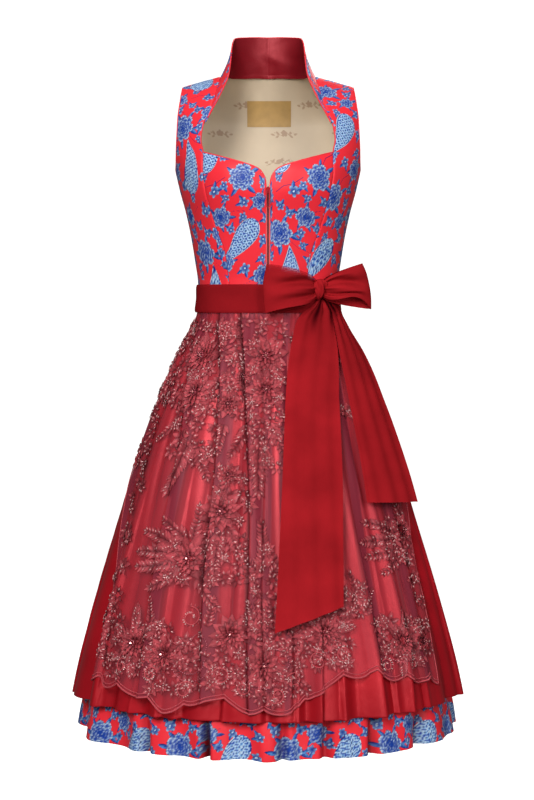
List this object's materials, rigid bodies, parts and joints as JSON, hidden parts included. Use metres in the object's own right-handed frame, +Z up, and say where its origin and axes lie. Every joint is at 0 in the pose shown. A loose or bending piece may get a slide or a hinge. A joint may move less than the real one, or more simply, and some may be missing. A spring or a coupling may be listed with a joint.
{
  "type": "dirndl dress",
  "caption": "Sleeveless dirndl in its worn shape: printed bodice with tall open collar, front zip, satin skirt over a printed underskirt, flowered lace apron and a sash tied in a bow.",
  "frame": {"origin": "the middle of the line between the two shoulder seams, where the wearer's shoulders carry the dress", "axes": "+Z up, the front faces -Y, the wearer's left is +X"},
  "size_m": [0.6526, 0.5407, 1.1791],
  "materials": {
    "print_cotton": "coral red cotton satin with a blue and white flower print",
    "satin": "glossy dark red satin",
    "apron_lace": "sheer embroidered tulle in dusty rose",
    "applique": "layered dusty rose flowers with beaded centres",
    "sash_organza": "sheer red organza with a slight shimmer",
    "lining": "cream cotton lining",
    "label_tape": "plain woven tan tape",
    "zip_metal": "dark red lacquer"
  },
  "bodies": {
    "dress": {"front_centre_left": "print_cotton", "front_centre_right": "print_cotton", "front_side_left": "print_cotton", "front_side_right": "print_cotton", "back_centre": "print_cotton", "back_side_left": "print_cotton", "back_side_right": "print_cotton", "collar": "print_cotton", "collar_facing": "satin", "lining_back": "lining", "label": "label_tape", "satin_front": "satin", "satin_back": "satin", "underskirt_front": "print_cotton", "underskirt_back": "print_cotton", "apron": "apron_lace", "flower_1": "applique", "flower_2": "applique", "flower_3": "applique", "flower_4": "applique", "flower_5": "applique", "flower_6": "applique", "flower_7": "applique", "flower_8": "applique", "flower_9": "applique", "flower_10": "applique", "flower_11": "applique", "flower_12": "applique", "flower_13": "applique", "sash_band": "sash_organza", "bow_knot": "sash_organza", "bow_loop_left": "sash_organza", "bow_loop_right": "sash_organza", "tail_front": "sash_organza", "tail_side": "sash_organza", "zip_tape": "sash_organza", "zip_chain": "zip_metal", "zip_slider": "zip_metal"},
    "pull": {"zip_pull": "zip_metal"}
  },
  "joints": [
    {"name": "zip_pull_swing", "type": "hinge", "parent": "dress", "child": "pull", "pos_m": [0, -0.12722, -0.184], "axis": [1, 0, 0], "range_deg": [-165, 0]}
  ]
}
